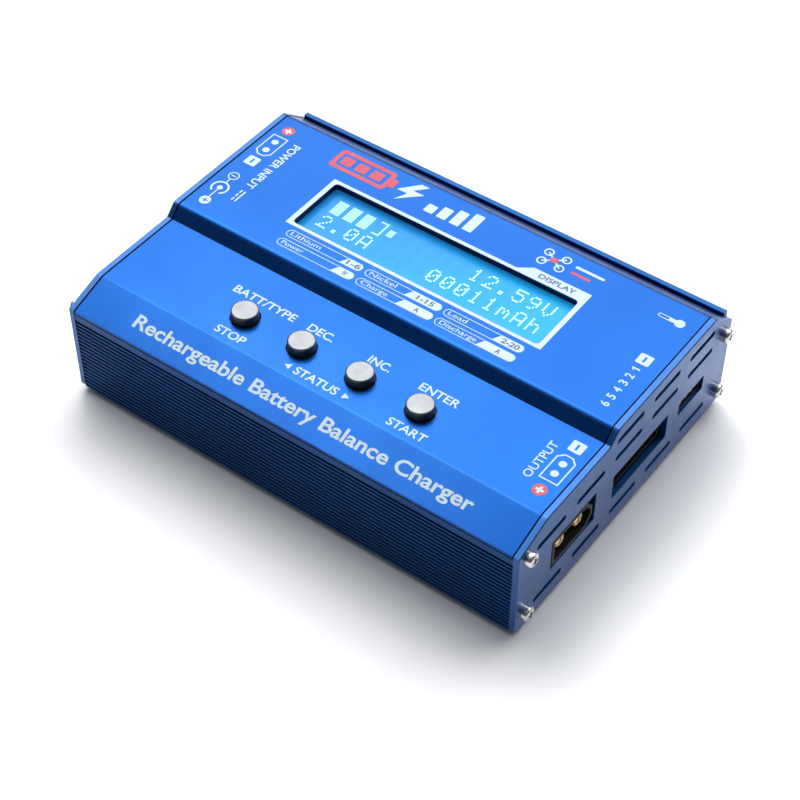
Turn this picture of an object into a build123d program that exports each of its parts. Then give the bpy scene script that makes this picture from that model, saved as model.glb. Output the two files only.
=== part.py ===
"""Balance battery charger: an extruded aluminium case with a display, four buttons and plug sockets.

Frame: X runs along the case, -Y is the front, +Z is up. The origin is on the table, under the middle.
All sizes are in millimetres.
"""

import os

from build123d import *

os.makedirs("parts", exist_ok=True)

# Overall sizes
case_length = 124.0
case_depth = 87.0
total_height = 33.0
plate_thickness = 1.5
plate_proud = 0.1
foot_height = 1.4

# Shells: heights are above the table
extrusion_length = case_length - 2 * plate_thickness
shell_back = case_depth / 2 - plate_proud
shell_front = -shell_back
deck_z = total_height - plate_proud
lower_deck_z = 30.0
front_edge_z = 26.6
rear_edge_z = 26.6
front_fold_y = -33.2
riser_foot_y = -8.9
riser_head_y = -6.0
rear_fold_y = 35.3
cover_thickness = 1.6
cover_rear_y = 41.5
cover_end_gap = 0.35
inner_fold_radius = 0.3
outer_fold_radius = cover_thickness + inner_fold_radius
floor_thickness = 1.8
wall_thickness = 2.2
wall_inner_y = shell_back - wall_thickness
thick_wall_top_z = 22.7
front_lip_thickness = 1.4
front_lip_top_z = 25.6
seam_gap = 0.35
rail_thickness = 1.5
rail_top_z = 28.8
rail_edge_chamfer = 0.25
bottom_edge_chamfer = 0.4

# Heat-sink grooves on the front and back walls
groove_count = 18
groove_pitch = 1.22
groove_mouth = 0.82
groove_root = 0.46
groove_depth = 0.5
first_groove_z = 2.6
top_groove_depth = 0.8

# End screws and the channels that they cut their thread in
screw_y = 40.2
screw_low_z = 6.3
screw_high_z = 24.4
low_boss_radius = 1.6
high_boss_radius = 1.5
channel_radius = 0.85
screw_shaft_radius = 0.8
screw_shaft_length = 9.0
screw_hole_radius = 1.3
screw_head_radius = 1.8
screw_head_height = 1.8
screw_head_rounding = 0.7
cross_length = 2.1
cross_width = 0.55
cross_depth = 0.9

# Vent slots in the end plates
vent_length = 11.0
vent_height = 1.6
vent_pitch = 15.2
vent_middle_y = -0.8
vent_high_z = 29.1
vent_middle_z = 23.65
vent_low_z = 6.0
fan_vent_zs = (10.4, 14.8, 19.2)
plate_low_corner = 1.5
plate_opening_corner = 0.4
plate_edge_chamfer = 0.2

# Rubber feet
foot_spacing = (100.0, 66.0)
foot_radius = 5.0
foot_rounding = 0.5

# Main board, held in slots along both walls
board_top_z = 10.8
board_thickness = 1.6
board_length = 117.8
board_depth = 81.8
board_slot_clearance = 0.1
slot_rib_depth = 1.5
slot_rib_height = 0.9
web_overlap = 0.3

# Display window and module
window_x = -0.4
window_y = 13.4
window_length = 68.6
window_depth = 16.8
window_corner = 1.0
glass_top_z = 30.7
glass_size = (74.0, 22.4, 1.1)
backlight_height = 3.5
bezel_size = (77.0, 25.4)
bezel_sheet = 0.4
bezel_opening = (71.6, 19.6)
lcd_board_size = (80.0, 36.0, 1.6)
lcd_board_top_z = 25.9
lcd_spacer_inset = 2.5
spacer_radius = 2.4
spacer_bore_radius = 1.15
lcd_screw_hole_radius = 1.35
lcd_screw_radius = 1.1
lcd_screw_length = 6.0
lcd_screw_head_radius = 2.2
lcd_screw_head_height = 1.5
lcd_screw_head_rounding = 0.6
lcd_screw_cross = (2.2, 0.6)
lcd_screw_cross_depth = 0.8
header_count = 16
header_pitch = 2.54
header_first_x = -32.0
header_height = 2.5
header_hole_radius = 0.5
header_edge_inset = 1.6
header_pin_stand = 1.0
pin_width = 0.64
pin_fit = 0.06

# Buttons
button_names = ("stop", "dec", "inc", "start")
button_pitch = 16.2
button_first_x = -25.3
button_y = -24.3
button_travel = 0.4
button_rise = 2.4
cap_radius = 3.25
cap_bottom_z = 24.4
cap_flange_radius = 4.1
cap_flange_height = 1.0
cap_hole_radius = 3.6
cap_edge_rounding = 0.45
cap_flange_gap = 0.2
plunger_radius = 1.7
plunger_top_z = 29.4
switch_width = 6.0
switch_height = 3.5
switch_corner = 0.5
switch_floor = 1.2
plunger_fit = 0.05
plunger_cap_fit = 0.02
plunger_floor_gap = 0.1

# Power connectors: two split pins inside a shroud whose end has its corners cut off
power_body = (16.0, 8.1)
power_body_length = 16.0
power_corner = 2.7
power_edge_chamfer = 0.25
power_recess = 0.1
power_opening = (17.4, 9.0)
power_opening_shift = 0.15
power_opening_z = 15.0
power_z = 14.85
output_y = -22.1
input_y = 23.5
shroud_wall = 0.95
shroud_depth = 9.0
power_pin_pitch = 7.2
power_pin_radius = 1.75
power_pin_recess = 0.75
power_pin_rounding = 0.6
power_pin_fit = 0.05
power_slit = (4.0, 0.4)
power_slit_depth = 5.0
power_tail = 1.5
power_tail_width = 2.4
power_tail_thickness = 1.2

# Balance socket
balance_y = 5.4
balance_opening = (23.0, 7.5)
balance_opening_z = 14.05
balance_body = (22.0, 7.1)
balance_body_length = 11.0
balance_cavity = (20.0, 5.9)
balance_cavity_depth = 8.0
balance_tip_recess = 2.7
balance_notch_offset = 7.5
balance_notch_width = 1.6
socket_tail = 1.0
pin_channel_length = 4.0
pin_tip_chamfer = 0.18
balance_pin_count = 7
socket_pin_pitch = 2.5
socket_face_x = case_length / 2 - plate_thickness - 0.1

# Temperature socket
temperature_y = 27.35
temperature_opening = (11.0, 4.3)
temperature_z = 15.0
temperature_pin_count = 3
temperature_pin_z = 14.0
temperature_length = 9.0
temperature_face_recess = 0.7
temperature_tip_recess = 0.4
temperature_fit = (0.5, 0.4)
temperature_wall = (0.7, 0.5)
temperature_cavity_depth = 7.5

# Supply jack
jack_y = 4.2
jack_z = 17.3
jack_body = (9.0, 11.0)
jack_length = 14.0
jack_collar_radius = 4.0
jack_bore_radius = 2.85
jack_pin_radius = 1.05
jack_hole_clearance = 0.3
jack_plate_gap = 0.2
jack_face_recess = 0.1
jack_bore_depth = 10.5
jack_pin_recess = 1.2
jack_pin_length = 12.4
jack_pin_rounding = 0.5
jack_pin_fit = 0.03

# Fan
fan_size = 25.0
fan_depth = 10.0
fan_x = -55.3
fan_y = -20.4
fan_z = 15.8
fan_bore_radius = 11.6
fan_hub_radius = 5.2
fan_blade_count = 7
fan_shaft_radius = 0.75
fan_bearing_clearance = 0.03
fan_corner = 1.5
fan_hole_pitch = 20.0
fan_hole_radius = 1.4
fan_notch_clearance = 0.5
fan_strut_depth = 1.5
fan_strut = (8.0, 1.8)
fan_strut_middle = 8.5
fan_bearing_radius = 2.0
fan_bearing_length = 5.5
fan_bearing_cap = 0.5
fan_hub_inset = 0.5
fan_hub_length = 7.5
fan_hub_wall = 0.8
fan_blade = (5.9, 0.8, 8.0)
fan_blade_angle = 40
fan_blade_middle = 7.75
fan_shaft_inset = 1.0

# Parts on the main board: length, depth and height
controller_size = (12.0, 12.0, 1.4)
controller_place = (12.0, 8.0)
crystal_size = (4.7, 11.0, 3.5)
crystal_place = (25.0, 8.0)
crystal_corner = 2.2
balance_chip_size = (4.0, 9.0, 1.5)
balance_chip_places = ((43.0, -1.0), (43.0, 11.0))
balance_resistor_size = (6.3, 1.6, 0.6)
balance_resistor_place = (32.5, 12.0)
balance_resistor_pitch = 2.6
balance_resistor_count = 6
sense_resistor_size = (6.3, 3.2, 1.0)
sense_resistor_places = ((38.0, -20.0), (38.0, -27.0))
fuse_size = (4.5, 10.0, 3.0)
fuse_place = (-41.0, 9.0)
capacitor_radius = 3.15
capacitor_height = 11.0
capacitor_rounding = 0.5
capacitor_y = 35.2
input_capacitor_xs = (-51.5, -43.5)
output_capacitor_xs = (20.0, 28.0)
buzzer_radius = 6.0
buzzer_height = 9.5
buzzer_place = (-40.0, -16.0)
buzzer_hole_radius = 1.0
buzzer_hole_depth = 2.0
inductor_place = (-18.0, 12.0)
core_outer = 9.0
core_inner = 4.8
core_height = 7.0
core_lift = 1.2
core_clearance = 0.2
turn_count = 18
turn_wire = 0.8

# Power transistors under the board and the pad that carries their heat to the floor
transistor_size = (10.0, 15.0, 4.5)
transistor_count = 4
transistor_pitch = 24.0
transistor_y = 20.0
pad_size = (90.0, 18.0)

# Values worked out from the ones above
end_x = case_length / 2
inner_end_x = extrusion_length / 2
fan_outer_x = fan_x - fan_depth / 2
fan_inner_x = fan_x + fan_depth / 2
floor_top_z = foot_height + floor_thickness
cover_inner_z = lower_deck_z - cover_thickness
cover_edge_z = front_lip_top_z + seam_gap
board_bottom_z = board_top_z - board_thickness
slot_rib_zs = (
    board_bottom_z - board_slot_clearance - slot_rib_height,
    board_top_z + board_slot_clearance,
)
vent_ys = [vent_middle_y + (i - 2) * vent_pitch for i in range(5)]
screw_points = [(side * screw_y, z) for side in (-1, 1) for z in (screw_low_z, screw_high_z)]
button_xs = [button_first_x + i * button_pitch for i in range(len(button_names))]
header_xs = [header_first_x + i * header_pitch for i in range(header_count)]
header_y = window_y + lcd_board_size[1] / 2 - header_edge_inset
header_middle_x = (header_xs[0] + header_xs[-1]) / 2
spacer_points = [
    (
        window_x + i * (lcd_board_size[0] / 2 - lcd_spacer_inset),
        window_y + j * (lcd_board_size[1] / 2 - lcd_spacer_inset),
    )
    for i in (-1, 1)
    for j in (-1, 1)
]
front_fold = (front_fold_y, lower_deck_z)
riser_foot = (riser_foot_y, lower_deck_z)
riser_head = (riser_head_y, deck_z)
rear_fold = (rear_fold_y, deck_z)
case_outline = [
    (shell_front, foot_height),
    (shell_front, front_edge_z),
    front_fold,
    riser_foot,
    riser_head,
    rear_fold,
    (shell_back, rear_edge_z),
    (shell_back, foot_height),
]


def rectangle_between(low, high, mode=Mode.ADD):
    """A rectangle in the open sketch, given by two opposite corners."""
    with Locations(((low[0] + high[0]) / 2, (low[1] + high[1]) / 2)):
        Rectangle(abs(high[0] - low[0]), abs(high[1] - low[1]), mode=mode)


def vertices_at(shape, points):
    """The corners of a sketch that lie at the given points."""
    return [
        vertex
        for vertex in shape.vertices()
        if any(abs(vertex.X - p[0]) < 0.01 and abs(vertex.Y - p[1]) < 0.01 for p in points)
    ]


def round_folds(sketch):
    """Rounds the case's outline where the cover is folded."""
    fillet(vertices_at(sketch, [front_fold, riser_head, rear_fold]), outer_fold_radius)
    fillet(vertices_at(sketch, [riser_foot]), inner_fold_radius)


def groove(side, z, depth):
    """One tapered heat-sink groove in the open wall sketch."""
    Polygon(
        (side * shell_back, z - groove_mouth / 2),
        (side * (shell_back - depth), z - groove_root / 2),
        (side * (shell_back - depth), z + groove_root / 2),
        (side * shell_back, z + groove_mouth / 2),
        align=None,
        mode=Mode.SUBTRACT,
    )


def power_outline(sketch, y, cut_side):
    """A power connector's outline: a rectangle with both corners of one end cut off."""
    with Locations((y, power_z)):
        Rectangle(*power_body)
    corners = [(y + cut_side * power_body[0] / 2, power_z + k * power_body[1] / 2) for k in (-1, 1)]
    chamfer(vertices_at(sketch, corners), power_corner)


# ---------------------------------------------------------------- case
with BuildPart() as base_extrusion:
    with BuildSketch(Plane.YZ.offset(-inner_end_x)) as base_section:
        rectangle_between((shell_front, foot_height), (shell_back, floor_top_z))
        for side in (-1, 1):
            rectangle_between((side * wall_inner_y, foot_height), (side * shell_back, thick_wall_top_z))
            with Locations((side * screw_y, screw_low_z)):
                Circle(low_boss_radius)
            rectangle_between(
                (side * (screw_y - web_overlap), foot_height),
                (side * (wall_inner_y + web_overlap), screw_low_z),
            )
            for rib_z in slot_rib_zs:
                rectangle_between(
                    (side * (wall_inner_y - slot_rib_depth), rib_z),
                    (side * (wall_inner_y + web_overlap), rib_z + slot_rib_height),
                )
        rectangle_between(
            (shell_front, thick_wall_top_z), (shell_front + front_lip_thickness, front_lip_top_z)
        )
        rectangle_between((shell_back - rail_thickness, thick_wall_top_z), (shell_back, rail_top_z))
        bottom_corners = [(shell_front, foot_height), (shell_back, foot_height)]
        chamfer(vertices_at(base_section, bottom_corners), bottom_edge_chamfer)
        chamfer(vertices_at(base_section, [(shell_back, rail_top_z)]), rail_edge_chamfer)
        for side in (-1, 1):
            with Locations((side * screw_y, screw_low_z)):
                Circle(channel_radius, mode=Mode.SUBTRACT)
            for i in range(groove_count - 1):
                groove(side, first_groove_z + i * groove_pitch, groove_depth)
            groove(side, first_groove_z + (groove_count - 1) * groove_pitch, top_groove_depth)
    extrude(amount=extrusion_length)
base_extrusion.part.label = "base_extrusion"
export_step(base_extrusion.part, "parts/base_extrusion.step")

with BuildPart() as top_cover:
    with BuildSketch(Plane.YZ.offset(cover_end_gap - inner_end_x)) as cover_section:
        with BuildLine():
            Polyline(*case_outline, close=True)
        make_face()
        round_folds(cover_section)
        offset(amount=-cover_thickness, kind=Kind.INTERSECTION, mode=Mode.SUBTRACT)
        rectangle_between((shell_front - 1, 0), (shell_back + 1, cover_edge_z), Mode.SUBTRACT)
        rectangle_between((cover_rear_y, 0), (shell_back + 1, total_height), Mode.SUBTRACT)
        for side in (-1, 1):
            with Locations((side * screw_y, screw_high_z)):
                Circle(high_boss_radius)
            rectangle_between(
                (side * (screw_y - high_boss_radius), screw_high_z),
                (side * (screw_y + high_boss_radius), cover_edge_z + 2 * web_overlap),
            )
            with Locations((side * screw_y, screw_high_z)):
                Circle(channel_radius, mode=Mode.SUBTRACT)
    extrude(amount=extrusion_length - 2 * cover_end_gap)
    with BuildSketch(Plane.XY.offset(deck_z)) as window_cut:
        with Locations((window_x, window_y)):
            RectangleRounded(window_length, window_depth, window_corner)
    extrude(amount=-2 * cover_thickness, mode=Mode.SUBTRACT)
    with BuildSketch(Plane.XY.offset(lower_deck_z)) as button_holes:
        with Locations(*((x, button_y) for x in button_xs)):
            Circle(cap_hole_radius)
    extrude(amount=-2 * cover_thickness, mode=Mode.SUBTRACT)
top_cover.part.label = "top_cover"
export_step(top_cover.part, "parts/top_cover.step")

left_openings = [(input_y - power_opening_shift, power_opening_z, *power_opening)]
right_openings = [
    (output_y + power_opening_shift, power_opening_z, *power_opening),
    (balance_y, balance_opening_z, *balance_opening),
    (temperature_y, temperature_z, *temperature_opening),
]
for side, name, openings in ((-1, "left", left_openings), (1, "right", right_openings)):
    with BuildPart() as end_plate:
        with BuildSketch(Plane.YZ.offset(side * inner_end_x)) as plate_outline:
            with BuildLine():
                Polyline(*case_outline, close=True)
            make_face()
            round_folds(plate_outline)
            offset(amount=plate_proud, kind=Kind.INTERSECTION)
            fillet(plate_outline.vertices().group_by(Axis.Y)[0], plate_low_corner)
            for y, z, length, height in openings:
                with Locations((y, z)):
                    RectangleRounded(length, height, plate_opening_corner, mode=Mode.SUBTRACT)
            with Locations(*screw_points):
                Circle(screw_hole_radius, mode=Mode.SUBTRACT)
            vents = [(y, z) for y in vent_ys for z in (vent_low_z, vent_middle_z)]
            vents += [(y, vent_high_z) for y in vent_ys[2:]]
            if side < 0:
                vents += [(y, z) for y in vent_ys[:2] for z in fan_vent_zs]
                with Locations((jack_y, jack_z)):
                    Circle(jack_collar_radius + jack_hole_clearance, mode=Mode.SUBTRACT)
            with Locations(*vents):
                SlotOverall(vent_length, vent_height, mode=Mode.SUBTRACT)
        extrude(amount=side * plate_thickness)
        outer_face = end_plate.faces().sort_by(Axis.X)[-1 if side > 0 else 0]
        chamfer(outer_face.outer_wire().edges(), plate_edge_chamfer)
    end_plate.part.label = f"end_plate_{name}"
    export_step(end_plate.part, f"parts/end_plate_{name}.step")

for side, name in ((-1, "left"), (1, "right")):
    head_top = Plane.YZ.offset(side * (end_x + screw_head_height))
    with BuildPart() as end_screws:
        with BuildSketch(Plane.YZ.offset(side * end_x)):
            with Locations(*screw_points):
                Circle(screw_head_radius)
        extrude(amount=side * screw_head_height)
        fillet(end_screws.edges().group_by(Axis.X)[-1 if side > 0 else 0], screw_head_rounding)
        with BuildSketch(head_top):
            with Locations(*screw_points):
                Rectangle(cross_length, cross_width)
                Rectangle(cross_width, cross_length)
        extrude(amount=-side * cross_depth, mode=Mode.SUBTRACT)
        with BuildSketch(Plane.YZ.offset(side * end_x)):
            with Locations(*screw_points):
                Circle(screw_shaft_radius)
        extrude(amount=-side * screw_shaft_length)
    end_screws.part.label = f"end_screws_{name}"
    export_step(end_screws.part, f"parts/end_screws_{name}.step")

with BuildPart() as rubber_feet:
    with BuildSketch():
        with GridLocations(*foot_spacing, 2, 2):
            Circle(foot_radius)
    extrude(amount=foot_height)
    fillet(rubber_feet.edges().group_by(Axis.Z)[0], foot_rounding)
rubber_feet.part.label = "rubber_feet"
export_step(rubber_feet.part, "parts/rubber_feet.step")

# ---------------------------------------------------------------- display
bezel_top_z = glass_top_z + bezel_sheet + 0.1
with BuildPart() as lcd_bezel:
    with BuildSketch(Plane.XY.offset(lcd_board_top_z)):
        with Locations((window_x, window_y)):
            RectangleRounded(*bezel_size, 0.8)
    extrude(amount=bezel_top_z - lcd_board_top_z)
    with BuildSketch(Plane.XY.offset(lcd_board_top_z)):
        with Locations((window_x, window_y)):
            Rectangle(bezel_size[0] - 2 * bezel_sheet, bezel_size[1] - 2 * bezel_sheet)
    extrude(amount=bezel_top_z - bezel_sheet - lcd_board_top_z, mode=Mode.SUBTRACT)
    with BuildSketch(Plane.XY.offset(bezel_top_z)):
        with Locations((window_x, window_y)):
            Rectangle(*bezel_opening)
    extrude(amount=-2 * bezel_sheet, mode=Mode.SUBTRACT)
lcd_bezel.part.label = "lcd_bezel"
export_step(lcd_bezel.part, "parts/lcd_bezel.step")

glass_bottom_z = glass_top_z - glass_size[2]
with BuildPart() as lcd_glass:
    with Locations((window_x, window_y, glass_top_z)):
        Box(*glass_size, align=(Align.CENTER, Align.CENTER, Align.MAX))
lcd_glass.part.label = "lcd_glass"
export_step(lcd_glass.part, "parts/lcd_glass.step")

with BuildPart() as lcd_backlight:
    with Locations((window_x, window_y, glass_bottom_z)):
        Box(glass_size[0], glass_size[1], backlight_height, align=(Align.CENTER, Align.CENTER, Align.MAX))
lcd_backlight.part.label = "lcd_backlight"
export_step(lcd_backlight.part, "parts/lcd_backlight.step")

with BuildPart() as lcd_board:
    with BuildSketch(Plane.XY.offset(lcd_board_top_z)):
        with Locations((window_x, window_y)):
            Rectangle(lcd_board_size[0], lcd_board_size[1])
        with Locations(*spacer_points):
            Circle(lcd_screw_hole_radius, mode=Mode.SUBTRACT)
        with Locations(*((x, header_y) for x in header_xs)):
            Circle(header_hole_radius, mode=Mode.SUBTRACT)
    extrude(amount=-lcd_board_size[2])
lcd_board.part.label = "lcd_board"
export_step(lcd_board.part, "parts/lcd_board.step")

lcd_board_bottom_z = lcd_board_top_z - lcd_board_size[2]
with BuildPart() as lcd_spacers:
    with BuildSketch(Plane.XY.offset(board_top_z)):
        with Locations(*spacer_points):
            Circle(spacer_radius)
            Circle(spacer_bore_radius, mode=Mode.SUBTRACT)
    extrude(amount=lcd_board_bottom_z - board_top_z)
lcd_spacers.part.label = "lcd_spacers"
export_step(lcd_spacers.part, "parts/lcd_spacers.step")

with BuildPart() as lcd_screws:
    with BuildSketch(Plane.XY.offset(lcd_board_top_z)):
        with Locations(*spacer_points):
            Circle(lcd_screw_head_radius)
    extrude(amount=lcd_screw_head_height)
    fillet(lcd_screws.edges().group_by(Axis.Z)[-1], lcd_screw_head_rounding)
    with BuildSketch(Plane.XY.offset(lcd_board_top_z + lcd_screw_head_height)):
        with Locations(*spacer_points):
            Rectangle(*lcd_screw_cross)
            Rectangle(*lcd_screw_cross, rotation=90)
    extrude(amount=-lcd_screw_cross_depth, mode=Mode.SUBTRACT)
    with BuildSketch(Plane.XY.offset(lcd_board_top_z)):
        with Locations(*spacer_points):
            Circle(lcd_screw_radius)
    extrude(amount=-lcd_screw_length)
lcd_screws.part.label = "lcd_screws"
export_step(lcd_screws.part, "parts/lcd_screws.step")

with BuildPart() as lcd_header:
    with BuildSketch(Plane.XY.offset(board_top_z)):
        with Locations((header_middle_x, header_y)):
            Rectangle(header_count * header_pitch, header_pitch)
        with Locations(*((x, header_y) for x in header_xs)):
            Rectangle(pin_width + pin_fit, pin_width + pin_fit, mode=Mode.SUBTRACT)
    extrude(amount=header_height)
lcd_header.part.label = "lcd_header"
export_step(lcd_header.part, "parts/lcd_header.step")

with BuildPart() as lcd_header_pins:
    with BuildSketch(Plane.XY.offset(board_top_z)):
        with Locations(*((x, header_y) for x in header_xs)):
            Rectangle(pin_width, pin_width)
    extrude(amount=lcd_board_top_z + header_pin_stand - board_top_z)
lcd_header_pins.part.label = "lcd_header_pins"
export_step(lcd_header_pins.part, "parts/lcd_header_pins.step")

# ---------------------------------------------------------------- buttons
switch_top_z = board_top_z + switch_height
plunger_bottom_z = board_top_z + switch_floor + button_travel + plunger_floor_gap
for name, x in zip(button_names, button_xs):
    with BuildPart() as button_cap:
        with BuildSketch(Plane.XY.offset(cap_bottom_z)):
            with Locations((x, button_y)):
                Circle(cap_radius)
        extrude(amount=lower_deck_z + button_rise - cap_bottom_z)
        fillet(button_cap.edges().group_by(Axis.Z)[-1], cap_edge_rounding)
        with BuildSketch(Plane.XY.offset(cover_inner_z - cap_flange_gap)):
            with Locations((x, button_y)):
                Circle(cap_flange_radius)
        extrude(amount=-cap_flange_height)
        with BuildSketch(Plane.XY.offset(cap_bottom_z)):
            with Locations((x, button_y)):
                Circle(plunger_radius + plunger_cap_fit)
        extrude(amount=plunger_top_z - cap_bottom_z, mode=Mode.SUBTRACT)
    button_cap.part.label = f"button_cap_{name}"
    export_step(button_cap.part, f"parts/button_cap_{name}.step")

    with BuildPart() as button_plunger:
        with BuildSketch(Plane.XY.offset(plunger_bottom_z)):
            with Locations((x, button_y)):
                Circle(plunger_radius)
        extrude(amount=plunger_top_z - plunger_bottom_z)
    button_plunger.part.label = f"button_plunger_{name}"
    export_step(button_plunger.part, f"parts/button_plunger_{name}.step")

    with BuildPart() as switch_body:
        with BuildSketch(Plane.XY.offset(board_top_z)):
            with Locations((x, button_y)):
                RectangleRounded(switch_width, switch_width, switch_corner)
        extrude(amount=switch_height)
        with BuildSketch(Plane.XY.offset(switch_top_z)):
            with Locations((x, button_y)):
                Circle(plunger_radius + plunger_fit)
        extrude(amount=board_top_z + switch_floor - switch_top_z, mode=Mode.SUBTRACT)
    switch_body.part.label = f"switch_body_{name}"
    export_step(switch_body.part, f"parts/switch_body_{name}.step")

# ---------------------------------------------------------------- main board
with BuildPart() as main_board:
    with BuildSketch(Plane.XY.offset(board_top_z)):
        Rectangle(board_length, board_depth)
        rectangle_between(
            (-end_x, fan_y - fan_size / 2 - fan_notch_clearance),
            (fan_inner_x + fan_notch_clearance, fan_y + fan_size / 2 + fan_notch_clearance),
            Mode.SUBTRACT,
        )
    extrude(amount=-board_thickness)
main_board.part.label = "main_board"
export_step(main_board.part, "parts/main_board.step")

# ---------------------------------------------------------------- power connectors
power_face_x = end_x - power_recess
power_back_x = power_face_x - power_body_length
pin_tip_x = power_face_x - power_pin_recess
for side, name, power_y in ((1, "output", output_y), (-1, "input", input_y)):
    pin_points = [(power_y + k * power_pin_pitch / 2, power_z) for k in (-1, 1)]
    power_face = Plane.YZ.offset(side * power_face_x)
    with BuildPart() as power_connector:
        with BuildSketch(power_face) as power_section:
            power_outline(power_section, power_y, side)
        extrude(amount=-side * power_body_length)
        chamfer(power_connector.faces().sort_by(Axis.X)[-1 if side > 0 else 0].edges(), power_edge_chamfer)
        with BuildSketch(power_face) as shroud_cavity:
            power_outline(shroud_cavity, power_y, side)
            offset(amount=-shroud_wall, kind=Kind.INTERSECTION)
        extrude(amount=-side * shroud_depth, mode=Mode.SUBTRACT)
        with BuildSketch(power_face):
            with Locations(*pin_points):
                Circle(power_pin_radius + power_pin_fit)
        extrude(amount=-side * power_body_length, mode=Mode.SUBTRACT)
    power_connector.part.label = f"{name}_connector"
    export_step(power_connector.part, f"parts/{name}_connector.step")

    pin_tip = Plane.YZ.offset(side * pin_tip_x)
    with BuildPart() as power_contacts:
        with BuildSketch(pin_tip):
            with Locations(*pin_points):
                Circle(power_pin_radius)
        extrude(amount=-side * (pin_tip_x - power_back_x + power_tail))
        fillet(power_contacts.edges().group_by(Axis.X)[-1 if side > 0 else 0], power_pin_rounding)
        with BuildSketch(pin_tip):
            with Locations(*pin_points):
                Rectangle(*power_slit)
                Rectangle(*power_slit, rotation=90)
        extrude(amount=-side * power_slit_depth, mode=Mode.SUBTRACT)
        with BuildSketch(Plane.YZ.offset(side * power_back_x)):
            for y, z in pin_points:
                rectangle_between((y - power_tail_width / 2, board_top_z), (y + power_tail_width / 2, z))
        extrude(amount=-side * power_tail_thickness)
    power_contacts.part.label = f"{name}_contacts"
    export_step(power_contacts.part, f"parts/{name}_contacts.step")

# ---------------------------------------------------------------- supply jack
jack_front_x = jack_plate_gap - inner_end_x
jack_face_x = jack_face_recess - end_x
with BuildPart() as supply_jack:
    with BuildSketch(Plane.YZ.offset(jack_front_x)):
        with Locations((jack_y, board_top_z)):
            Rectangle(*jack_body, align=(Align.CENTER, Align.MIN))
    extrude(amount=jack_length)
    with BuildSketch(Plane.YZ.offset(jack_front_x)):
        with Locations((jack_y, jack_z)):
            Circle(jack_collar_radius)
    extrude(amount=jack_face_x - jack_front_x)
    with BuildSketch(Plane.YZ.offset(jack_face_x)):
        with Locations((jack_y, jack_z)):
            Circle(jack_bore_radius)
    extrude(amount=jack_bore_depth, mode=Mode.SUBTRACT)
    with BuildSketch(Plane.YZ.offset(jack_face_x)):
        with Locations((jack_y, jack_z)):
            Circle(jack_pin_radius + jack_pin_fit)
    extrude(amount=jack_length, mode=Mode.SUBTRACT)
supply_jack.part.label = "supply_jack"
export_step(supply_jack.part, "parts/supply_jack.step")

with BuildPart() as supply_jack_pin:
    with BuildSketch(Plane.YZ.offset(jack_pin_recess - end_x)):
        with Locations((jack_y, jack_z)):
            Circle(jack_pin_radius)
    extrude(amount=jack_pin_length)
    fillet(supply_jack_pin.edges().group_by(Axis.X)[0], jack_pin_rounding)
supply_jack_pin.part.label = "supply_jack_pin"
export_step(supply_jack_pin.part, "parts/supply_jack_pin.step")

# ---------------------------------------------------------------- balance and temperature sockets
balance_middle_z = board_top_z + balance_body[1] / 2
balance_back_x = socket_face_x - balance_body_length
balance_pin_ys = [balance_y + (i - 3) * socket_pin_pitch for i in range(balance_pin_count)]
balance_notch_ys = (balance_y - balance_notch_offset, balance_y + balance_notch_offset)
with BuildPart() as balance_socket:
    with BuildSketch(Plane.YZ.offset(socket_face_x)):
        with Locations((balance_y, balance_middle_z)):
            Rectangle(*balance_body)
    extrude(amount=-balance_body_length)
    with BuildSketch(Plane.YZ.offset(socket_face_x)):
        with Locations((balance_y, balance_middle_z)):
            Rectangle(*balance_cavity)
        with Locations(*((y, balance_middle_z) for y in balance_notch_ys)):
            Rectangle(balance_notch_width, balance_body[1], align=(Align.CENTER, Align.MIN))
    extrude(amount=-balance_cavity_depth, mode=Mode.SUBTRACT)
    with BuildSketch(Plane.YZ.offset(balance_back_x)):
        with Locations(*((y, balance_middle_z) for y in balance_pin_ys)):
            Rectangle(pin_width + pin_fit, pin_width + pin_fit)
    extrude(amount=pin_channel_length, mode=Mode.SUBTRACT)
balance_socket.part.label = "balance_socket"
export_step(balance_socket.part, "parts/balance_socket.step")

balance_tip_x = socket_face_x - balance_tip_recess
balance_tail_height = balance_middle_z + pin_width / 2 - board_top_z
with BuildPart() as balance_pins:
    with BuildSketch(Plane.YZ.offset(balance_tip_x)):
        with Locations(*((y, balance_middle_z) for y in balance_pin_ys)):
            Rectangle(pin_width, pin_width)
    extrude(amount=balance_back_x - socket_tail - balance_tip_x)
    chamfer(balance_pins.edges().group_by(Axis.X)[-1], pin_tip_chamfer)
    with BuildSketch(Plane.YZ.offset(balance_back_x - socket_tail)):
        with Locations(*((y, board_top_z) for y in balance_pin_ys)):
            Rectangle(pin_width, balance_tail_height, align=(Align.CENTER, Align.MIN))
    extrude(amount=pin_width)
balance_pins.part.label = "balance_pins"
export_step(balance_pins.part, "parts/balance_pins.step")

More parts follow.
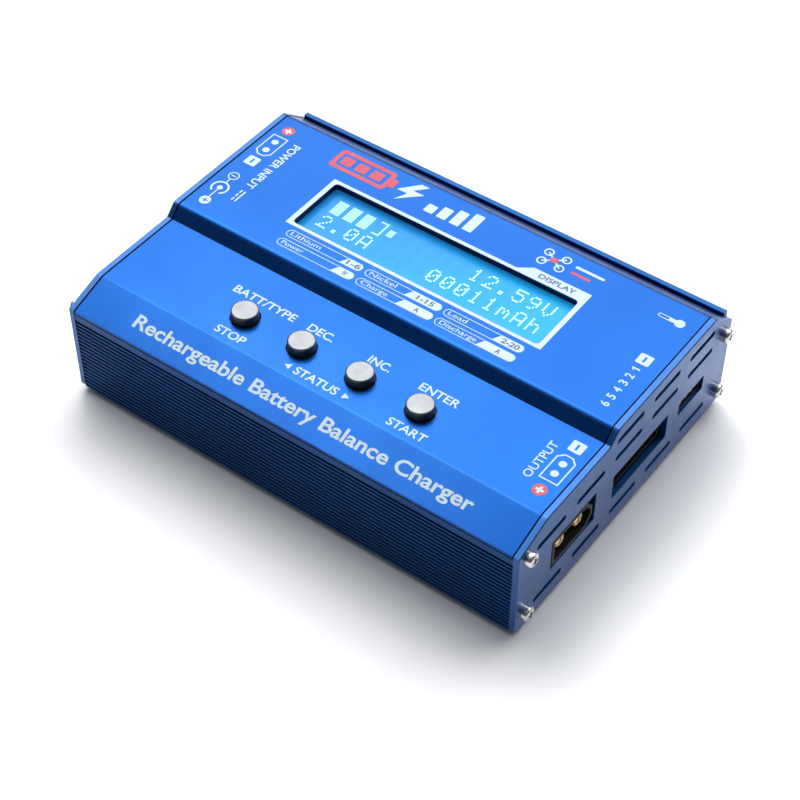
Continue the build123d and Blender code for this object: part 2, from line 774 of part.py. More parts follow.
temperature_face_x = end_x - temperature_face_recess
temperature_back_x = socket_face_x - temperature_length
temperature_pin_ys = [temperature_y + (i - 1) * socket_pin_pitch for i in range(temperature_pin_count)]
temperature_nose = [opening - fit for opening, fit in zip(temperature_opening, temperature_fit)]
temperature_cavity = [size - 2 * wall for size, wall in zip(temperature_nose, temperature_wall)]
with BuildPart() as temperature_socket:
    with BuildSketch(Plane.YZ.offset(socket_face_x)):
        rectangle_between(
            (temperature_y - temperature_nose[0] / 2, board_top_z),
            (temperature_y + temperature_nose[0] / 2, temperature_z + temperature_nose[1] / 2),
        )
    extrude(amount=temperature_back_x - socket_face_x)
    with BuildSketch(Plane.YZ.offset(socket_face_x)):
        with Locations((temperature_y, temperature_z)):
            Rectangle(*temperature_nose)
    extrude(amount=temperature_face_x - socket_face_x)
    with BuildSketch(Plane.YZ.offset(temperature_face_x)):
        with Locations((temperature_y, temperature_z)):
            Rectangle(*temperature_cavity)
    extrude(amount=-temperature_cavity_depth, mode=Mode.SUBTRACT)
    with BuildSketch(Plane.YZ.offset(temperature_back_x)):
        with Locations(*((y, temperature_pin_z) for y in temperature_pin_ys)):
            Rectangle(pin_width + pin_fit, pin_width + pin_fit)
    extrude(amount=pin_channel_length, mode=Mode.SUBTRACT)
temperature_socket.part.label = "temperature_socket"
export_step(temperature_socket.part, "parts/temperature_socket.step")

temperature_tip_x = temperature_face_x - temperature_tip_recess
temperature_tail_height = temperature_pin_z + pin_width / 2 - board_top_z
with BuildPart() as temperature_pins:
    with BuildSketch(Plane.YZ.offset(temperature_tip_x)):
        with Locations(*((y, temperature_pin_z) for y in temperature_pin_ys)):
            Rectangle(pin_width, pin_width)
    extrude(amount=temperature_back_x - socket_tail - temperature_tip_x)
    chamfer(temperature_pins.edges().group_by(Axis.X)[-1], pin_tip_chamfer)
    with BuildSketch(Plane.YZ.offset(temperature_back_x - socket_tail)):
        with Locations(*((y, board_top_z) for y in temperature_pin_ys)):
            Rectangle(pin_width, temperature_tail_height, align=(Align.CENTER, Align.MIN))
    extrude(amount=pin_width)
temperature_pins.part.label = "temperature_pins"
export_step(temperature_pins.part, "parts/temperature_pins.step")

# ---------------------------------------------------------------- parts on the main board
on_board = (Align.CENTER, Align.CENTER, Align.MIN)
under_board = (Align.CENTER, Align.CENTER, Align.MAX)

with BuildPart() as microcontroller:
    with Locations((*controller_place, board_top_z)):
        Box(*controller_size, align=on_board)
microcontroller.part.label = "microcontroller"
export_step(microcontroller.part, "parts/microcontroller.step")

with BuildPart() as crystal:
    with Locations((*crystal_place, board_top_z)):
        Box(*crystal_size, align=on_board)
    fillet(crystal.edges().filter_by(Axis.Z), crystal_corner)
crystal.part.label = "crystal"
export_step(crystal.part, "parts/crystal.step")

with BuildPart() as balance_chips:
    with Locations(*((x, y, board_top_z) for x, y in balance_chip_places)):
        Box(*balance_chip_size, align=on_board)
balance_chips.part.label = "balance_chips"
export_step(balance_chips.part, "parts/balance_chips.step")

with BuildPart() as balance_resistors:
    with Locations((*balance_resistor_place, board_top_z)):
        with GridLocations(0, balance_resistor_pitch, 1, balance_resistor_count):
            Box(*balance_resistor_size, align=on_board)
balance_resistors.part.label = "balance_resistors"
export_step(balance_resistors.part, "parts/balance_resistors.step")

with BuildPart() as sense_resistors:
    with Locations(*((x, y, board_top_z) for x, y in sense_resistor_places)):
        Box(*sense_resistor_size, align=on_board)
sense_resistors.part.label = "sense_resistors"
export_step(sense_resistors.part, "parts/sense_resistors.step")

with BuildPart() as fuse:
    with Locations((*fuse_place, board_top_z)):
        Box(*fuse_size, align=on_board)
fuse.part.label = "fuse"
export_step(fuse.part, "parts/fuse.step")

for name, xs in (("input", input_capacitor_xs), ("output", output_capacitor_xs)):
    with BuildPart() as capacitors:
        with BuildSketch(Plane.XY.offset(board_top_z)):
            with Locations(*((x, capacitor_y) for x in xs)):
                Circle(capacitor_radius)
        extrude(amount=capacitor_height)
        fillet(capacitors.edges().group_by(Axis.Z)[-1], capacitor_rounding)
    capacitors.part.label = f"{name}_capacitors"
    export_step(capacitors.part, f"parts/{name}_capacitors.step")

with BuildPart() as buzzer:
    with BuildSketch(Plane.XY.offset(board_top_z)):
        with Locations(buzzer_place):
            Circle(buzzer_radius)
    extrude(amount=buzzer_height)
    with BuildSketch(Plane.XY.offset(board_top_z + buzzer_height)):
        with Locations(buzzer_place):
            Circle(buzzer_hole_radius)
    extrude(amount=-buzzer_hole_depth, mode=Mode.SUBTRACT)
buzzer.part.label = "buzzer"
export_step(buzzer.part, "parts/buzzer.step")

with BuildPart() as inductor_core:
    with BuildSketch(Plane.XY.offset(board_top_z + core_lift)):
        with Locations(inductor_place):
            Circle(core_outer)
            Circle(core_inner, mode=Mode.SUBTRACT)
    extrude(amount=core_height)
inductor_core.part.label = "inductor_core"
export_step(inductor_core.part, "parts/inductor_core.step")

turn_length = core_outer - core_inner + 2 * core_clearance
turn_height = core_height + 2 * core_clearance
with BuildPart() as inductor_winding:
    with Locations((*inductor_place, board_top_z + core_lift + core_height / 2)):
        with PolarLocations((core_outer + core_inner) / 2, turn_count):
            Box(turn_length + 2 * turn_wire, turn_wire, turn_height + 2 * turn_wire)
            Box(turn_length, 2 * turn_wire, turn_height, mode=Mode.SUBTRACT)
inductor_winding.part.label = "inductor_winding"
export_step(inductor_winding.part, "parts/inductor_winding.step")

with BuildPart() as power_transistors:
    with Locations((0, transistor_y, board_bottom_z)):
        with GridLocations(transistor_pitch, 0, transistor_count, 1):
            Box(*transistor_size, align=under_board)
power_transistors.part.label = "power_transistors"
export_step(power_transistors.part, "parts/power_transistors.step")

with BuildPart() as thermal_pad:
    with Locations((0, transistor_y, floor_top_z)):
        Box(*pad_size, board_bottom_z - transistor_size[2] - floor_top_z, align=on_board)
thermal_pad.part.label = "thermal_pad"
export_step(thermal_pad.part, "parts/thermal_pad.step")

# ---------------------------------------------------------------- fan
with BuildPart() as fan_frame:
    with BuildSketch(Plane.YZ.offset(fan_outer_x)):
        with Locations((fan_y, fan_z)):
            RectangleRounded(fan_size, fan_size, fan_corner)
            Circle(fan_bore_radius, mode=Mode.SUBTRACT)
            with GridLocations(fan_hole_pitch, fan_hole_pitch, 2, 2):
                Circle(fan_hole_radius, mode=Mode.SUBTRACT)
    extrude(amount=fan_depth)
    with BuildSketch(Plane.YZ.offset(fan_inner_x)):
        with Locations((fan_y, fan_z)):
            Circle(fan_hub_radius)
            with PolarLocations(fan_strut_middle, 3, start_angle=90):
                Rectangle(*fan_strut)
    extrude(amount=-fan_strut_depth)
    with BuildSketch(Plane.YZ.offset(fan_inner_x)):
        with Locations((fan_y, fan_z)):
            Circle(fan_bearing_radius)
    extrude(amount=-fan_strut_depth - fan_bearing_length)
    with BuildSketch(Plane.YZ.offset(fan_inner_x - fan_bearing_cap)):
        with Locations((fan_y, fan_z)):
            Circle(fan_shaft_radius + fan_bearing_clearance)
    extrude(amount=-fan_depth, mode=Mode.SUBTRACT)
fan_frame.part.label = "fan_frame"
export_step(fan_frame.part, "parts/fan_frame.step")

hub_outer_x = fan_outer_x + fan_hub_inset
hub_middle = Plane(origin=(hub_outer_x + fan_hub_length / 2, fan_y, fan_z), z_dir=(1, 0, 0))
with BuildPart() as fan_rotor:
    with BuildSketch(Plane.YZ.offset(hub_outer_x)):
        with Locations((fan_y, fan_z)):
            Circle(fan_hub_radius)
    extrude(amount=fan_hub_length)
    with BuildSketch(Plane.YZ.offset(hub_outer_x + fan_hub_wall)):
        with Locations((fan_y, fan_z)):
            Circle(fan_hub_radius - fan_hub_wall)
    extrude(amount=fan_hub_length, mode=Mode.SUBTRACT)
    with BuildSketch(Plane.YZ.offset(hub_outer_x)):
        with Locations((fan_y, fan_z)):
            Circle(fan_shaft_radius)
    extrude(amount=fan_hub_wall, mode=Mode.SUBTRACT)
    with Locations(hub_middle):
        with PolarLocations(fan_blade_middle, fan_blade_count):
            Box(*fan_blade, rotation=(fan_blade_angle, 0, 0))
fan_rotor.part.label = "fan_rotor"
export_step(fan_rotor.part, "parts/fan_rotor.step")

with BuildPart() as fan_shaft:
    with BuildSketch(Plane.YZ.offset(hub_outer_x)):
        with Locations((fan_y, fan_z)):
            Circle(fan_shaft_radius)
    extrude(amount=fan_inner_x - fan_shaft_inset - hub_outer_x)
fan_shaft.part.label = "fan_shaft"
export_step(fan_shaft.part, "parts/fan_shaft.step")
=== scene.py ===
import math

import bmesh
import bpy
from mathutils import Matrix, Vector


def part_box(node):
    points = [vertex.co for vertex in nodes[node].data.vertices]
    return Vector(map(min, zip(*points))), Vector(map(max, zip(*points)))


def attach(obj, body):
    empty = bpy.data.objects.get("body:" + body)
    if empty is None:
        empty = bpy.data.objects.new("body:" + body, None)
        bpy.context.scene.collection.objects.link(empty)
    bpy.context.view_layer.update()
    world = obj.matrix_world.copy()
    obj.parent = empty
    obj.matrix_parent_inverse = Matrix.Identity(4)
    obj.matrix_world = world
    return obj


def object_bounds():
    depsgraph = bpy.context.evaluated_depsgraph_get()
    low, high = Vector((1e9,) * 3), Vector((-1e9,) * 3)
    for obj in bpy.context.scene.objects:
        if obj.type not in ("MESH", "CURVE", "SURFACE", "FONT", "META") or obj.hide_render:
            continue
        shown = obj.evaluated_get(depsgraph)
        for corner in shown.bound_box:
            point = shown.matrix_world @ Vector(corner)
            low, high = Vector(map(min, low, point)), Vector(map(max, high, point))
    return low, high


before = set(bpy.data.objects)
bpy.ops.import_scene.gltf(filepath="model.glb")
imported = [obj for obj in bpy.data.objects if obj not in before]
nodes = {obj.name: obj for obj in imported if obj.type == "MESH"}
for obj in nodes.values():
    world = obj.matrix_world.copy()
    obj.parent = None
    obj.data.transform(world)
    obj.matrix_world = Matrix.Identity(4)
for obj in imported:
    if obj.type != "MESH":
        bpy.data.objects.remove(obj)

cad_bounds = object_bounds()
MM = 0.001

# ------------------------------------------------------------------ shader nodes
AT_EDGE, OFF_EDGE = 0.80, 0.995  # product of the rounded and the real normal, at a sharp edge and beside it
GLOSS_SHARE = 0.4  # size of the gloss's patches against the colour's
EDGE_PATCH, LEAST_EDGE_LIGHTENING = 2.5, 0.15  # size in millimetres of an edge's lightened stretches, and its least lightening; the lightening is partly wear, partly painted highlight


def add(tree, kind, **settings):
    """A shader node with some of its properties and inputs set."""
    node = tree.nodes.new(kind)
    for key, value in settings.items():
        if hasattr(node, key):
            setattr(node, key, value)
        else:
            node.inputs[key.replace("_", " ")].default_value = value
    return node


def noise(tree, size, detail=3.0, stretch=(1, 1, 1)):
    """Noise whose features are about size metres across, in the object's own space."""
    where = add(tree, "ShaderNodeTexCoord")
    scaled = add(tree, "ShaderNodeMapping")
    scaled.inputs["Scale"].default_value = [1 / (size * s) for s in stretch]
    tree.links.new(where.outputs["Object"], scaled.inputs["Vector"])
    texture = add(tree, "ShaderNodeTexNoise", Scale=1.0, Detail=detail)
    tree.links.new(scaled.outputs["Vector"], texture.inputs["Vector"])
    return texture.outputs["Fac"]


def remap(tree, value, low, high, source=(0.3, 0.7)):
    """value moved from the source range to low..high."""
    node = add(tree, "ShaderNodeMapRange")
    for name, number in zip(("From Min", "From Max", "To Min", "To Max"), (*source, low, high)):
        node.inputs[name].default_value = number
    tree.links.new(value, node.inputs["Value"])
    return node.outputs["Result"]


def calculate(tree, operation, first, second):
    """The result of a math node. second is a socket or a number."""
    node = add(tree, "ShaderNodeMath", operation=operation)
    tree.links.new(first, node.inputs[0])
    if isinstance(second, bpy.types.NodeSocket):
        tree.links.new(second, node.inputs[1])
    else:
        node.inputs[1].default_value = second
    return node.outputs[0]


def mix(tree, factor, first, second):
    """A colour mixed by factor. first and second are colours or sockets."""
    node = add(tree, "ShaderNodeMix", data_type="RGBA")
    tree.links.new(factor, node.inputs[0])
    for socket, value in ((node.inputs[6], first), (node.inputs[7], second)):
        if isinstance(value, bpy.types.NodeSocket):
            tree.links.new(value, socket)
        else:
            socket.default_value = (*value, 1)
    return node.outputs[2]


def edge_mask(tree, radius):
    """1 along the solid's sharp edges and 0 elsewhere, with the rounded normal that goes with it."""
    bevel = add(tree, "ShaderNodeBevel", samples=6, Radius=radius)
    geometry = add(tree, "ShaderNodeNewGeometry")
    dot = add(tree, "ShaderNodeVectorMath", operation="DOT_PRODUCT")
    tree.links.new(bevel.outputs["Normal"], dot.inputs[0])
    tree.links.new(geometry.outputs["Normal"], dot.inputs[1])
    return remap(tree, dot.outputs["Value"], 1, 0, (AT_EDGE, OFF_EDGE)), bevel.outputs["Normal"]


def new_material(name):
    """A material with its node tree and its shader."""
    material = bpy.data.materials.new(name)
    material.use_nodes = True
    return material, material.node_tree, material.node_tree.nodes["Principled BSDF"]


def surface(name, color, second, metallic=0.0, rough=(0.4, 0.5), grain=0.2, depth=0.01, blotch=12.0,
            edge_wear_highlight=None, edge_wear_highlight_amount=0.5, edge=0.12, stretch=(1, 1, 1), **shader_values):
    """A finish with grain, colour variation, uneven gloss and, if an edge colour is given, edges lightened
    towards it: partly wear, partly painted highlight.
    grain, depth, blotch and edge are in millimetres."""
    material, tree, shader = new_material(name)
    shader.inputs["Metallic"].default_value = metallic
    for key, value in shader_values.items():
        shader.inputs[key.replace("_", " ")].default_value = value
    base = mix(tree, remap(tree, noise(tree, blotch * MM), 0, 1), color, second)
    roughness = remap(tree, noise(tree, blotch * MM * GLOSS_SHARE, detail=5.0), *rough)
    bump = add(tree, "ShaderNodeBump", Strength=1.0, Distance=depth * MM)
    tree.links.new(noise(tree, grain * MM, 2.0, stretch), bump.inputs["Height"])
    # Edges lightened towards the edge colour: partly wear, partly painted highlight
    if edge_wear_highlight:
        mask, rounded = edge_mask(tree, edge * MM)
        patches = remap(tree, noise(tree, EDGE_PATCH * MM, detail=5.0), LEAST_EDGE_LIGHTENING, edge_wear_highlight_amount)
        base = mix(tree, calculate(tree, "MULTIPLY", mask, patches), base, edge_wear_highlight)
        tree.links.new(rounded, bump.inputs["Normal"])
    tree.links.new(base, shader.inputs["Base Color"])
    tree.links.new(roughness, shader.inputs["Roughness"])
    tree.links.new(bump.outputs["Normal"], shader.inputs["Normal"])
    return material


# ------------------------------------------------------------------ materials
anodised = surface("anodised_blue", (0.003, 0.060, 0.258), (0.004, 0.068, 0.278), metallic=0.95,
                   rough=(0.36, 0.42), grain=0.16, depth=0.002, blotch=30.0, edge_wear_highlight=(0.02, 0.14, 0.45),
                   edge_wear_highlight_amount=0.7, Coat_Weight=0.10, Coat_Roughness=0.20)
# The cover's anodised blue painted darker: painted shade on the grooved front of the case
shaded_extrusion = surface("anodised_extrusion_shaded", (0.004, 0.052, 0.175), (0.006, 0.062, 0.205), metallic=0.85,
                   rough=(0.36, 0.44), depth=0.002, blotch=25.0, edge_wear_highlight=(0.03, 0.14, 0.36),
                   edge_wear_highlight_amount=0.6, edge=0.08, stretch=(40, 1, 1))
plate = surface("anodised_plate", (0.002, 0.072, 0.265), (0.004, 0.085, 0.295), metallic=0.80,
                rough=(0.38, 0.48), grain=0.16, depth=0.0035, blotch=18.0, edge_wear_highlight=(0.02, 0.14, 0.38),
                edge_wear_highlight_amount=0.6, Coat_Weight=0.45, Coat_Roughness=0.22)
steel = surface("plated_steel", (0.66, 0.64, 0.60), (0.78, 0.77, 0.74), metallic=1.0, rough=(0.18, 0.30),
                grain=0.12, depth=0.002, blotch=2.0, edge_wear_highlight=(0.92, 0.91, 0.88), edge=0.06)
button = surface("button_silver", (0.155, 0.165, 0.172), (0.185, 0.195, 0.202), metallic=0.95,
                 rough=(0.34, 0.42), grain=0.12, depth=0.004, blotch=4.0, edge_wear_highlight=(0.31, 0.32, 0.32), edge=0.1)
rubber = surface("foot_rubber", (0.020, 0.020, 0.021), (0.035, 0.034, 0.034), rough=(0.7, 0.85),
                 grain=0.25, blotch=4.0)
bezel = surface("bezel_black", (0.008, 0.010, 0.016), (0.016, 0.018, 0.026), metallic=0.3,
                rough=(0.45, 0.6), depth=0.003, blotch=8.0)
diffuser = surface("backlight_diffuser", (0.55, 0.80, 0.90), (0.65, 0.88, 0.95), grain=0.3, depth=0.002,
                   blotch=10.0)
board = surface("circuit_board", (0.006, 0.085, 0.035), (0.012, 0.130, 0.055), rough=(0.22, 0.4),
                grain=0.6, blotch=5.0, edge_wear_highlight=(0.35, 0.33, 0.20), edge=0.2)
nylon = surface("nylon_white", (0.74, 0.74, 0.70), (0.83, 0.83, 0.80), rough=(0.4, 0.55), grain=0.3,
                depth=0.004, blotch=6.0)
black = surface("black_plastic", (0.012, 0.012, 0.014), (0.028, 0.028, 0.030), rough=(0.42, 0.6),
                grain=0.15, depth=0.005, blotch=4.0)
housing = surface("connector_black", (0.006, 0.006, 0.007), (0.012, 0.012, 0.012), rough=(0.34, 0.48),
                  grain=0.12, depth=0.003, blotch=5.0, edge_wear_highlight=(0.05, 0.05, 0.05), Specular_IOR_Level=0.25)
gold = surface("gold_contacts", (0.83, 0.62, 0.25), (0.95, 0.76, 0.38), metallic=1.0, rough=(0.30, 0.42),
               grain=0.1, depth=0.002, blotch=2.0, edge_wear_highlight=(1.0, 0.86, 0.52), edge=0.08)
tin = surface("tinned_pins", (0.70, 0.70, 0.68), (0.86, 0.86, 0.84), metallic=1.0, rough=(0.2, 0.36),
              grain=0.1, depth=0.002, blotch=1.5)
sleeve = surface("capacitor_can", (0.020, 0.022, 0.040), (0.040, 0.044, 0.070), metallic=0.1,
                 rough=(0.25, 0.4), grain=0.3, depth=0.003, blotch=4.0)
ferrite = surface("ferrite_grey", (0.055, 0.055, 0.060), (0.10, 0.10, 0.105), metallic=0.1,
                  rough=(0.6, 0.75), grain=0.15, blotch=3.0)
copper = surface("copper_wire", (0.50, 0.17, 0.06), (0.72, 0.29, 0.11), metallic=1.0, rough=(0.22, 0.36),
                 grain=0.1, depth=0.003, blotch=2.0)
pad = surface("pad_grey", (0.33, 0.35, 0.38), (0.42, 0.44, 0.46), rough=(0.7, 0.85), grain=0.5, blotch=6.0)

ink_finish = {"rough": (0.40, 0.55), "grain": 0.10, "depth": 0.002, "blotch": 1.2}
white_ink = surface("printed_white", (0.45, 0.57, 0.63), (0.50, 0.62, 0.68), **ink_finish)
red_ink = surface("printed_red", (0.48, 0.025, 0.065), (0.53, 0.045, 0.085), **ink_finish)
dark_ink = surface("printed_dark", (0.015, 0.045, 0.15), (0.025, 0.065, 0.19), **ink_finish)

DISPLAY_GLOSS, DISPLAY_ROUGH = 0.16, (0.25, 0.35)
REAR_SHADE, CLOUD = 0.25, 0.06  # how much brighter the display is along its front than at its rear, where painted shade of the window's rear wall falls, and how uneven
CLOUD_SIZE, HAZE_SIZE = 9, 3


def lit(name, left, right, strength):
    """A surface lit from behind, with painted shade: darker towards its left end and its rear, where the
    window's walls shade it.
    """
    low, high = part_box("lcd_glass")
    material, tree, shader = new_material(name)
    shader.inputs["Emission Strength"].default_value = strength
    shader.inputs["Specular IOR Level"].default_value = DISPLAY_GLOSS
    where = add(tree, "ShaderNodeTexCoord")
    parts = add(tree, "ShaderNodeSeparateXYZ")
    tree.links.new(where.outputs["Object"], parts.inputs[0])
    # Painted shade: the colour ramps from the darker left colour to the right one, and darkens towards the
    # rear
    along = remap(tree, parts.outputs["X"], 0, 1, (low.x, high.x))
    across = remap(tree, parts.outputs["Y"], REAR_SHADE, 0, (low.y, high.y))
    cloud = remap(tree, noise(tree, CLOUD_SIZE * MM), -CLOUD, CLOUD)
    painted_shade_and_cloud = calculate(tree, "ADD", calculate(tree, "ADD", along, across), cloud)
    color = mix(tree, painted_shade_and_cloud, left, right)
    tree.links.new(color, shader.inputs["Base Color"])
    tree.links.new(color, shader.inputs["Emission Color"])
    tree.links.new(remap(tree, noise(tree, HAZE_SIZE * MM), *DISPLAY_ROUGH), shader.inputs["Roughness"])
    return material


# The left colours are darker than the right ones: painted shade of the window's left wall
glass = lit("display_glass", (0.010, 0.165, 0.470), (0.010, 0.290, 0.620), 0.52)
unlit_dots = lit("display_cells", (0.009, 0.155, 0.450), (0.009, 0.275, 0.595), 0.52)
lit_dots = lit("display_segments", (0.33, 0.66, 0.80), (0.42, 0.72, 0.84), 0.45)

looks = {
    shaded_extrusion: ["base_extrusion"],
    anodised: ["top_cover"],
    plate: ["end_plate_left", "end_plate_right"],
    steel: ["end_screws_left", "end_screws_right", "lcd_screws", "crystal", "fan_shaft"],
    rubber: ["rubber_feet"],
    bezel: ["lcd_bezel"],
    glass: ["lcd_glass"],
    diffuser: ["lcd_backlight"],
    board: ["lcd_board", "main_board"],
    nylon: ["lcd_spacers"],
    tin: ["lcd_header_pins", "supply_jack_pin", "balance_pins", "temperature_pins"],
    housing: ["output_connector", "input_connector", "supply_jack", "balance_socket", "temperature_socket"],
    gold: ["output_contacts", "input_contacts"],
    sleeve: ["input_capacitors", "output_capacitors"],
    ferrite: ["inductor_core"],
    copper: ["inductor_winding"],
    pad: ["thermal_pad"],
    button: [name for name in nodes if name.startswith("button_cap_")],
}
window_low, window_high = Vector((-34.7, 5.0)), Vector((33.9, 21.8))  # the cover's window, in millimetres
WINDOW_SHADE_REACH = 0.03  # how far beyond the window's walls the painted shade reaches


def paint_window_shade(material):
    """Paints shade on the walls of the cover's window: they are darkened as the recess's shade would darken
    them.
    """
    tree = material.node_tree
    shader = tree.nodes["Principled BSDF"]
    where = add(tree, "ShaderNodeTexCoord")
    offset = add(tree, "ShaderNodeVectorMath", operation="SUBTRACT")
    tree.links.new(where.outputs["Object"], offset.inputs[0])
    offset.inputs[1].default_value = ((window_low + window_high) / 2 * MM).to_3d()
    apart = add(tree, "ShaderNodeVectorMath", operation="ABSOLUTE")
    tree.links.new(offset.outputs["Vector"], apart.inputs[0])
    parts = add(tree, "ShaderNodeSeparateXYZ")
    tree.links.new(apart.outputs["Vector"], parts.inputs[0])
    reach = (window_high - window_low) / 2
    near_x = calculate(tree, "LESS_THAN", parts.outputs["X"], (reach.x + WINDOW_SHADE_REACH) * MM)
    near_y = calculate(tree, "LESS_THAN", parts.outputs["Y"], (reach.y + WINDOW_SHADE_REACH) * MM)
    plain = shader.inputs["Base Color"].links[0].from_socket
    # Painted shade: the window's walls are mixed towards near-black
    with_window_shade = mix(tree, calculate(tree, "MULTIPLY", near_x, near_y), plain, (0.004, 0.010, 0.030))
    tree.links.new(with_window_shade, shader.inputs["Base Color"])


paint_window_shade(anodised)
material_of = {name: material for material, names in looks.items() for name in names}
for name, node in nodes.items():
    node.data.materials.clear()
    node.data.materials.append(material_of.get(name, black))

# ------------------------------------------------------------------ flat shapes, in millimetres
CORNER_STEP = 15  # degrees between the points of a round corner
CORNER_POINTS = 90 // CORNER_STEP + 1


def turned(x, y, radius, degrees):
    """The point at radius from x, y in the direction degrees."""
    angle = math.radians(degrees)
    return x + radius * math.cos(angle), y + radius * math.sin(angle)


def circle(x, y, radius, count=48):
    return [turned(x, y, radius, 360 * i / count) for i in range(count)]


def rectangle(x0, y0, x1, y1, radius=0.0):
    """Anticlockwise from the lower left corner or, with round corners, from the upper right one."""
    if not radius:
        return [(x0, y0), (x1, y0), (x1, y1), (x0, y1)]
    left, right, bottom, top = x0 + radius, x1 - radius, y0 + radius, y1 - radius
    return [turned(x, y, radius, 90 * k + CORNER_STEP * i)
            for k, (x, y) in enumerate(((right, top), (left, top), (left, bottom), (right, bottom)))
            for i in range(CORNER_POINTS)]


def line(start, end, width):
    """A straight stroke as a four-cornered loop."""
    run = Vector(end) - Vector(start)
    side = Vector((-run.y, run.x)).normalized() * width / 2
    return [tuple(Vector(p) + s) for p, s in ((start, side), (start, -side), (end, -side), (end, side))]


def arc(x, y, radius, width, first, last, count=40):
    """An open ring from the angle first to the angle last, in degrees."""
    turns = [first + (last - first) * i / count for i in range(count + 1)]
    outer = [turned(x, y, radius + width / 2, turn) for turn in turns]
    inner = [turned(x, y, radius - width / 2, turn) for turn in turns]
    return outer + inner[::-1]


def plus(x, y, reach, width):
    half = width / 2
    quarter = [(half, reach), (half, half), (reach, half)]
    points = []
    for _ in range(4):
        points += quarter
        quarter = [(b, -a) for a, b in quarter]
    return [(x + a, y + b) for a, b in points]


def connector(x0, y0, x1, y1, cut, at_top):
    """A rectangle with both corners of its rear or front end cut off."""
    if at_top:
        return [(x0, y0), (x1, y0), (x1, y1 - cut), (x1 - cut, y1), (x0 + cut, y1), (x0, y1 - cut)]
    return [(x0 + cut, y0), (x1 - cut, y0), (x1, y0 + cut), (x1, y1), (x0, y1), (x0, y0 + cut)]


# ------------------------------------------------------------------ where the prints go
FOOT_INSET = 0.1  # from the case's front to the foot of the slope
CLEAR = 0.004  # between a print, or a dot of the display, and the surface under it
INK, OVERPRINT = 0.02, 0.012  # thickness of a print, and of one on top of another
CAP_HEIGHT = 0.682  # of the built-in font's capitals, in its own units
FINE, LIGHT, BOLD, HEAVY = 0.004, 0.008, 0.018, 0.022  # how far the letters' outlines are grown
prints = {}


def cover_point(x, y):
    """The point of the cover's outside above x, y."""
    return nodes["top_cover"].ray_cast(Vector((x * MM, y * MM, 1)), Vector((0, 0, -1)))[1]


def flat_place(x, y):
    """The frame of the flat deck at x, y: its origin is above the middle of the case."""
    return Matrix.Translation((0, 0, cover_point(x, y).z))


def slope_place(front_y, rear_y):
    """The frame of the slope that both places are on: its origin is at the middle of the slope's foot."""
    low, high = cover_point(0, front_y), cover_point(0, rear_y)
    along = Vector((1, 0, 0))
    upward = (high - low).normalized()
    foot = low + upward * ((cad_bounds[0][1] + FOOT_INSET * MM - low.y) / upward.y)
    return Matrix.Translation(foot) @ Matrix((along, upward, along.cross(upward))).transposed().to_4x4()


places = {"upper": flat_place(-45, 10), "lower": flat_place(-45, -20), "slope": slope_place(-41, -35)}


def gather(deck, color, curve, move):
    """Turns a filled curve into closed mesh, moves it on its deck and adds it to that deck's print."""
    scratch = bpy.data.objects.new("scratch", curve)
    bpy.context.scene.collection.objects.link(scratch)
    graph = bpy.context.evaluated_depsgraph_get()
    mesh = bpy.data.meshes.new_from_object(scratch.evaluated_get(graph))
    mesh.transform(places[deck] @ Matrix.Scale(MM, 4) @ move)
    prints.setdefault(f"print_{deck}_{color}", bmesh.new()).from_mesh(mesh)
    bpy.data.objects.remove(scratch)
    bpy.data.curves.remove(curve)
    bpy.data.meshes.remove(mesh)


def ink(deck, color, *loops, lift=0.0):
    """Prints the area inside the loops, where a loop inside another is a hole."""
    curve = bpy.data.curves.new("scratch", "CURVE")
    curve.dimensions = "2D"
    curve.fill_mode = "BOTH"
    curve.extrude = INK / 2
    for loop in loops:
        spline = curve.splines.new("POLY")
        spline.points.add(len(loop) - 1)
        for point, (x, y) in zip(spline.points, loop):
            point.co = (x, y, 0, 1)
        spline.use_cyclic_u = True
    gather(deck, color, curve, Matrix.Translation((0, 0, lift + INK / 2 + CLEAR)))


def write(deck, color, text, start, end, cap, weight=BOLD, lift=0.0, thickness=INK):
    """Prints a line of text whose baseline runs from start to end, with capitals of the height cap."""
    curve = bpy.data.curves.new("scratch", "FONT")
    curve.body = text
    curve.offset = weight
    probe = bpy.data.objects.new("scratch", curve)
    bpy.context.scene.collection.objects.link(probe)
    bpy.context.view_layer.update()
    left, right = probe.bound_box[0][0], probe.bound_box[6][0]
    bpy.data.objects.remove(probe)
    curve.extrude = thickness / 2
    run = Vector(end) - Vector(start)
    shift = Matrix.Translation((*start, lift + thickness / 2 + CLEAR))
    turn = Matrix.Rotation(math.atan2(run.y, run.x), 4, "Z")
    size = Matrix.Diagonal((run.length / (right - left), cap / CAP_HEIGHT, 1, 1))
    gather(deck, color, curve, shift @ turn @ size @ Matrix.Translation((-left, 0, 0)))


# ------------------------------------------------------------------ signs
def red_plus(deck, x, y):
    """A red disc with a white plus."""
    disc, reach, bar = 1.67, 1.0, 0.62
    cross = plus(x, y, reach, bar)
    ink(deck, "red", circle(x, y, disc), cross)
    ink(deck, "white", cross)


def white_minus(deck, x, y):
    """A white square with a minus left out of it, upright as the sign is read from the end."""
    half, bar_x, bar_y = 1.65, 0.26, 0.9
    ink(deck, "white", rectangle(x - half, y - half, x + half, y + half, 0.35),
        rectangle(x - bar_x, y - bar_y, x + bar_x, y + bar_y))


def plug_sign(deck, x, width, y0, y1, at_top, pins):
    """The outline of a power plug with a dot for each pin."""
    x0, x1 = x - width / 2, x + width / 2
    stroke, cut, inner_cut, dot = 0.34, 1.35, 1.2, 0.92
    ink(deck, "white", connector(x0, y0, x1, y1, cut, at_top),
        connector(x0 + stroke, y0 + stroke, x1 - stroke, y1 - stroke, inner_cut, at_top))
    for y in pins:
        ink(deck, "white", circle(x, y, dot))


